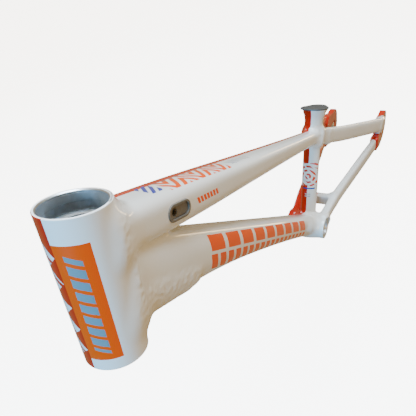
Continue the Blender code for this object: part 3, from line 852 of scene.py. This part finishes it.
def rubber(name, code, dark_code, roughness=0.62):
    """Moulded rubber: dark, matt and slightly grained."""
    made, tree, shader = surface(name, roughness=roughness)
    grain = ripple(tree, shader, 0.8 * MM, 0.03 * MM, detail=4.0)
    tone = add(tree, "ShaderNodeMix", {0: grain, 6: colour(code), 7: colour(dark_code)}, data_type="RGBA")
    tree.links.new(tone.outputs[2], shader.inputs["Base Color"])
    return made


# aluminium alloy, cut by a reamer or a mill: bright, with fine rings
head_metal = machined("reamed aluminium head tube", HEAD_AXIS)
shell_metal = machined("reamed aluminium shell", BB_AXIS)
seat_metal = machined("reamed aluminium seat tube", SEAT_AXIS)
block_metal = machined("machined aluminium block", FORWARDS)
# the same alloy as it was drawn, unreamed, its colour darkened as painted shade for the depth of the bore
bore_metal_with_painted_shade = machined("drawn aluminium inside the head tube", HEAD_AXIS, "8A9399")
# soft moulded rubber: matt and slightly mottled
cover_rubber = rubber("olive rubber", "464846", "2C2C2A")
port_rubber = rubber("dark rubber", "7C776D", "4A4741", 0.5)
# alloy steel blackened in a hot salt bath: dark, with a low sheen
black_oxide, oxide_tree, oxide = surface("black oxide steel", metallic=1.0, roughness=0.38)
oxide.inputs["Base Color"].default_value = colour("2B2B2E")
ripple(oxide_tree, oxide, 0.5 * MM, 0.01 * MM)
print("materials:", len(bpy.data.materials))

# %% Put the tubes in place
BODY_OF = {node: body for body, nodes in frame["record"]["behaviour"]["bodies"].items() for node in nodes}


def place(mesh, node, materials, sharp=40):
    """Shade a mesh, make it an object and let it stand for its measured node."""
    mesh.shade_smooth()
    mesh.set_sharp_from_angle(angle=math.radians(sharp))
    for material in materials:
        mesh.materials.append(material)
    obj = in_scene(node + "_finished", mesh)
    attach(obj, BODY_OF[node])
    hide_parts(node)
    return obj


def stadium(length, height):
    """Points round an obround outline."""
    radius, steps, points = height / 2, 12, []
    for centre, first in ((length / 2 - radius, -math.pi / 2), (radius - length / 2, math.pi / 2)):
        points += [Vector((centre + radius * math.cos(first + math.pi * k / steps),
                           radius * math.sin(first + math.pi * k / steps), 0)) for k in range(steps + 1)]
    return points


def after_modifiers(obj):
    """The mesh of an object once its modifiers have run."""
    return bpy.data.meshes.new_from_object(obj.evaluated_get(bpy.context.evaluated_depsgraph_get()))


def cut(obj, rings):
    """Cut a closed shape, given by its rings, out of an object."""
    cutter = in_scene("cutter", mesh_of("cutter", rings))
    boolean = obj.modifiers.new("cut", "BOOLEAN")
    boolean.operation, boolean.solver, boolean.object = "DIFFERENCE", "EXACT", cutter
    bpy.context.view_layer.update()
    mesh = after_modifiers(obj)
    obj.modifiers.clear()
    obj.data = mesh
    bpy.data.objects.remove(cutter)


def prism(outline, centre, out, low, high):
    """The rings of a straight-sided plug with this outline, closed at both ends."""
    ends = [[centre + out * level] * len(outline) for level in (low, high)]
    sides = [[point + out * level for point in outline] for level in (low, high)]
    return [ends[0], *sides, ends[1]]


def slot(centre, along, out, length, height, depth):
    """An obround plug: along is its long direction, out points away from the surface."""
    across = out.cross(along)
    outline = [centre + along * p.x + across * p.y for p in stadium(length, height)]
    return prism(outline, centre, out, -depth, depth)


metals = {"head_tube": [head_metal, bore_metal_with_painted_shade], "bottom_bracket_shell": [shell_metal],
          "seat_tube": [seat_metal]}
rim, skin_depth = 0.1 * MM, 0.6 * MM
# past the headset ledges the narrow bore takes the third material, a darker copy of the metal that paints the
# shade deep in the head tube
mark_bare(meshes["head_tube"], HEAD_BOTTOM, HEAD_AXIS, HEAD_RADIUS - skin_depth, rim, HEAD_LENGTH - rim,
          bore + 0.4 * MM)
mark_bare(meshes["bottom_bracket_shell"], Vector(), BB_AXIS, BB_RADIUS - skin_depth, rim - half, half - rim)
mark_bare(meshes["seat_tube"], Vector(), SEAT_AXIS, SEAT_RADIUS - skin_depth, seat_low, SEAT_LENGTH - rim)
tubes = {}
for name, mesh in meshes.items():
    tubes[name] = place(mesh, name, [paints[name], *metals.get(name, [])])

print("tubes placed:", len(tubes))

# %% Cut the holes for the cable
def centre_of(node):
    """The middle of a measured node."""
    low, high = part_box(node)
    return (low + high) / 2


cut(tubes["top_tube"], slot(centre_of("cable_port_frame"), TOP_AXIS, LEFTWARDS, 31.2 * MM, 14.7 * MM, 5 * MM))
cut(tubes["top_tube"], slot(centre_of("cable_exit_grommet"), TOP_AXIS, -TOP_UP, 20.2 * MM, 9.2 * MM, 4 * MM))

# %% File the seatstays' ends flush with the slots that the axle blocks slide in
SLOT_BACK, DROPOUT_SIDE = 4.5 * MM, 61.5 * MM
for side, sign in SIDES.items():
    slot_centre = AXLE - FORWARDS * SLOT_BACK + LEFTWARDS * sign * DROPOUT_SIDE
    path = slot(slot_centre, FORWARDS, LEFTWARDS * sign, length=44.4 * MM, height=16.4 * MM, depth=20 * MM)
    cut(tubes["seatstay_" + side], path)

# %% [markdown]
# ## Room for the clamp
# The clamp pulls a wedge against the seat post. It needs a pocket that opens into the seat tube, and
# behind it a round well for the bolt, wider at the top where the bolt's head sinks in. Each is a
# closed shape that a Boolean cuts out of the tube and its housing.

# %% Cut the clamp's pocket and the bolt's well
BOLT_BACK = 19.2 * MM
POCKET_LOW, POCKET_HIGH, POCKET_HALF = 172 * MM, 198.5 * MM, 7.3 * MM
POCKET_FRONT, POCKET_REAR = 8 * MM, 24.5 * MM
corners = [(POCKET_FRONT, -POCKET_HALF), (POCKET_REAR, -POCKET_HALF),
           (POCKET_REAR, POCKET_HALF), (POCKET_FRONT, POCKET_HALF)]
pocket = prism([seat_point(0, back, left) for back, left in corners], seat_point(0, 16 * MM), SEAT_AXIS,
               POCKET_LOW, POCKET_HIGH)
SHANK_ROOM, HEAD_ROOM, HEAD_DEPTH, WELL_DEPTH, OVERSHOOT = 2.8 * MM, 4.5 * MM, 6 * MM, 16 * MM, 2 * MM
well_profile = [(0, -WELL_DEPTH), (SHANK_ROOM, -WELL_DEPTH), (SHANK_ROOM, -HEAD_DEPTH),
                (HEAD_ROOM, -HEAD_DEPTH), (HEAD_ROOM, OVERSHOOT), (0, OVERSHOOT)]
well = turned_rings(well_profile, seat_point(SEAT_LENGTH, BOLT_BACK), SEAT_AXIS, 32)
for node, hole in (("seat_tube", pocket), ("seat_clamp_housing", pocket), ("seat_clamp_housing", well)):
    cut(tubes[node], hole)
    print(node, "faces after the cut:", len(tubes[node].data.polygons))

# %% [markdown]
# ## Small parts from the measured solids
# The dropouts, blocks and grommets already have the right outline, so each one is a merged copy of
# its measured solid with its sharp edges broken by a bevel, as a deburring wheel would.

# %% Small parts
def eased_copy(node, material, edge, segments=3):
    """A welded copy of a measured node with rounded edges."""
    shape = bmesh.new()
    shape.from_mesh(frame["nodes"][node].data)
    bmesh.ops.remove_doubles(shape, verts=shape.verts, dist=0.01 * MM)
    bmesh.ops.dissolve_limit(shape, angle_limit=math.radians(1), verts=shape.verts, edges=shape.edges)
    obj = place(mesh_from(shape, node), node, [material])
    obj.data.shade_smooth()
    bevel = obj.modifiers.new("eased edges", "BEVEL")
    bevel.width, bevel.segments = edge, segments
    bevel.limit_method, bevel.angle_limit = "ANGLE", math.radians(35)
    obj.modifiers.new("even shading", "WEIGHTED_NORMAL")
    return obj


for side in SIDES:
    eased_copy("dropout_" + side, plain_red, 1.2 * MM)
    eased_copy("axle_block_" + side, block_metal, 0.4 * MM, 2)
eased_copy("seat_clamp_wedge", block_metal, 0.4 * MM, 2)
eased_copy("cable_port_frame", port_rubber, 0.7 * MM)
eased_copy("cable_port_plug", port_rubber, 0.2 * MM, 2)
eased_copy("cable_exit_grommet", port_rubber, 0.7 * MM)
print("small parts:", len(SIDES) * 2 + 4)

# %% [markdown]
# ## Socket-head screws and their threads
# A socket-head screw is turned from black steel: a round head with a hexagon pressed into it, a plain
# shank, and a rolled thread. The body is a turned profile, whose rings are hexagons inside the socket.
# A thread follows a rule, so a small tree of geometry nodes makes it: a spiral, with a thin section
# swept along it. Its sizes are inputs, so one tree serves all three screws.

# %% The thread tree
def thread_tree():
    """Geometry nodes for a ridge that winds up round +Z."""
    tree = bpy.data.node_groups.new("screw thread", "GeometryNodeTree")
    for name in ("Radius", "Pitch", "Length", "Ridge"):
        tree.interface.new_socket(name, in_out="INPUT", socket_type="NodeSocketFloat")
    tree.interface.new_socket("Finish", in_out="INPUT", socket_type="NodeSocketMaterial")
    tree.interface.new_socket("Geometry", in_out="OUTPUT", socket_type="NodeSocketGeometry")
    sizes = tree.nodes.new("NodeGroupInput").outputs
    spiral = add(tree, "GeometryNodeCurveSpiral", {
        "Resolution": 24, "Rotations": maths(tree, "DIVIDE", sizes["Length"], sizes["Pitch"]),
        "Start Radius": sizes["Radius"], "End Radius": sizes["Radius"], "Height": sizes["Length"]})
    section = add(tree, "GeometryNodeCurvePrimitiveCircle", {"Resolution": 5, "Radius": sizes["Ridge"]})
    ridge = add(tree, "GeometryNodeCurveToMesh", {
        "Curve": spiral.outputs[0], "Profile Curve": section.outputs["Curve"], "Fill Caps": True})
    real = add(tree, "GeometryNodeRealizeInstances", {"Geometry": ridge.outputs[0]})
    painted = add(tree, "GeometryNodeSetMaterial", {"Geometry": real.outputs[0], "Material": sizes["Finish"]})
    add(tree, "NodeGroupOutput", {0: painted.outputs[0]})
    return tree


def grown(name, tree, values):
    """Run a tree of geometry nodes on its own and return what it makes as a plain mesh."""
    holder = in_scene(name, bpy.data.meshes.new(name))
    modifier = holder.modifiers.new("grow", "NODES")
    modifier.node_group = tree
    for item in tree.interface.items_tree:
        if item.in_out == "INPUT":
            modifier[item.identifier] = values[item.name]
    mesh = after_modifiers(holder)
    bpy.data.objects.remove(holder)
    return mesh


# %% The three screws
THREAD = thread_tree()
SCREW_PITCH, TUG_SCREW_REAR = 0.8 * MM, -0.441


def socket_screw(node, start, axis, head_radius, head_length, radius, length):
    """A screw from the top of its head along an axis, and its thread as a second piece."""
    edge, hexagon, socket = 0.35 * MM, 0.44 * head_radius, 0.6 * head_length
    profile = [(0, socket + 0.3 * MM), (hexagon, socket, 6), (hexagon, 0.2 * MM, 6), (hexagon * 1.2, 0),
               (head_radius - edge, 0), (head_radius, edge), (head_radius, head_length),
               (radius, head_length), (radius, length - edge), (radius - edge, length), (0, length)]
    place(mesh_of(node, turned_rings(profile, start, axis, 48)), node, [black_oxide])
    ridge = 0.14 * MM
    threaded = length - head_length - 3 * MM
    mesh = grown(node + "_thread", THREAD, {"Radius": radius - 0.3 * ridge, "Pitch": SCREW_PITCH,
                                            "Length": threaded, "Ridge": ridge, "Finish": black_oxide})
    turn = axis.to_track_quat("Z", "Y").to_matrix().to_4x4()
    mesh.transform(Matrix.Translation(start + axis * (length - edge - threaded)) @ turn)
    mesh.shade_smooth()
    thread = in_scene(node + "_thread", mesh)
    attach(thread, BODY_OF[node])
    print(node, "turns of thread:", round(threaded / SCREW_PITCH))


for side, sign in SIDES.items():
    start = Vector((TUG_SCREW_REAR, sign * DROPOUT_SIDE, AXLE.z))
    socket_screw("tug_screw_" + side, start, FORWARDS, head_radius=3.5 * MM, head_length=4 * MM,
                 radius=2.0 * MM, length=34.5 * MM)
socket_screw("seat_clamp_bolt", seat_point(SEAT_LENGTH - 0.6 * MM, BOLT_BACK), -SEAT_AXIS,
             head_radius=4.2 * MM, head_length=5 * MM, radius=2.5 * MM, length=38.1 * MM)

# %% [markdown]
# ## The seat tube's cover
# The cover is moulded in soft rubber: an egg-shaped lid with a raised lip round its edge, a slightly
# sunken middle, and a round spigot that plugs the seat tube. The egg is two circles and the lines
# that touch both, so one function gives its outline at any distance in from the edge.

# %% Seat tube cover
RING_POINTS, COVER_UNDERSIDE = 96, SEAT_LENGTH + 0.3 * MM
# each end is a circle: how far back its centre lies, and its radius
FRONT_END, REAR_END = (2.0 * MM, 23.5 * MM), (21.0 * MM, 15.0 * MM)


def egg(inset, height):
    """One ring of the cover's outline, pulled in by inset, at a height over its underside."""
    turn_over = math.acos((FRONT_END[1] - REAR_END[1]) / (REAR_END[0] - FRONT_END[0]))
    ring = []
    for k in range(RING_POINTS):
        angle = 2 * math.pi * k / RING_POINTS
        centre, radius = REAR_END if min(angle, 2 * math.pi - angle) < turn_over else FRONT_END
        back, left = centre + (radius - inset) * math.cos(angle), (radius - inset) * math.sin(angle)
        ring.append(seat_point(COVER_UNDERSIDE + height, back, left))
    return ring


def spigot_ring(radius, height):
    """One ring of the round plug below the cover."""
    turns = [2 * math.pi * k / RING_POINTS for k in range(RING_POINTS)]
    return [seat_point(COVER_UNDERSIDE + height, radius * math.cos(a), radius * math.sin(a)) for a in turns]


# (radius, height) of the spigot, then (inset, height) of the lid, in millimetres
spigot = [(0, -8), (11.4, -8), (12.0, -7.4), (12.0, -0.6), (12.6, 0)]
lid = [(1.0, 0), (0.2, 0.2), (0, 0.8), (0, 1.6), (0.4, 2.2), (1.2, 2.45), (2.6, 2.45), (3.6, 2.1),
       (5.0, 1.9), (9.0, 1.85)]
cover_rings = [spigot_ring(r * MM, h * MM) for r, h in spigot] + [egg(i * MM, h * MM) for i, h in lid]
cover_rings.append([seat_point(COVER_UNDERSIDE + lid[-1][1] * MM, 8 * MM)] * RING_POINTS)
cover_mesh = mesh_of("seat_tube_cover", cover_rings)
place(cover_mesh, "seat_tube_cover", [cover_rubber], sharp=60)
print("cover faces:", len(cover_mesh.polygons))

# %% [markdown]
# ## Studio
# A plain pale floor well below the frame, which glows as a light table does, but only for the
# camera: its glow on white enamel would wash every colour out. A dome of the same paint closes the
# horizon. The room is warm all round. Its large soft lights are cool in front and pale overhead,
# and dimmer ones stand on both sides. A tall, narrow strip behind the frame puts long glints on
# the tubes' shoulders, which is what shows that they are lacquered.

# %% Studio
def soft_light(name, place_at, target, size, power, code, width=None):
    """An area light that faces a point: a square, or an upright strip of this width."""
    data = bpy.data.lights.new(name, "AREA")
    data.shape, data.energy = "RECTANGLE", power
    data.size, data.size_y = width or size, size
    data.color = colour(code)[:3]
    lamp = in_scene(name, data)
    direction = (target - place_at).normalized()
    lamp.matrix_world = Matrix.Translation(place_at) @ direction.to_track_quat("-Z", "Y").to_matrix().to_4x4()


middle = (Vector(cad_box[0]) + Vector(cad_box[1])) / 2
soft_light("right", Vector((-1.56, -2.2, 0.92)), middle, 0.8, 14, "E4F2FF")
soft_light("rear strip", Vector((-2.2, 0.40, -0.35)), middle, 0.9, 5, "FFD9A0", width=0.15)
soft_light("front", Vector((2.1, -0.10, 0.85)), middle, 1.1, 90, "5FC1FF")
soft_light("left", Vector((0.6, 2.0, 0.4)), middle, 0.35, 9, "FFC77C")
soft_light("rear left", Vector((-0.9, 1.2, 0.9)), Vector((-0.3, 0, 0)), 0.8, 6, "FFFFFF")
soft_light("above", Vector((-0.1, 0.1, 2.2)), middle, 1.2, 112, "DCEEFF")
print("lights:", len(bpy.data.lights))

world = bpy.data.worlds.new("warm room")
bpy.context.scene.world = world
world.use_nodes = True
background = world.node_tree.nodes["Background"]
background.inputs["Color"].default_value = colour("F0CC90")
background.inputs["Strength"].default_value = 0.48

glow, _, glow_shader = surface("pale floor", roughness=0.9)
glow_shader.inputs["Base Color"].default_value = colour("FBFBFA")
glow_shader.inputs["Emission Color"].default_value = colour("FFFCF6")
glow_shader.inputs["Emission Strength"].default_value = 6.0


def backdrop(name, shape):
    """Something that only the camera sees."""
    mesh = mesh_from(shape, name)
    mesh.materials.append(glow)
    obj = in_scene(name, mesh)
    obj.visible_diffuse = obj.visible_glossy = obj.visible_shadow = False


FLOOR_HEIGHT, DOME_RADIUS = -0.45, 8.0
flat, dome = bmesh.new(), bmesh.new()
bmesh.ops.create_grid(flat, x_segments=1, y_segments=1, size=DOME_RADIUS,
                      matrix=Matrix.Translation((0, 0, FLOOR_HEIGHT)))
bmesh.ops.create_uvsphere(dome, u_segments=48, v_segments=24, radius=DOME_RADIUS)
backdrop("floor", flat)
backdrop("dome", dome)
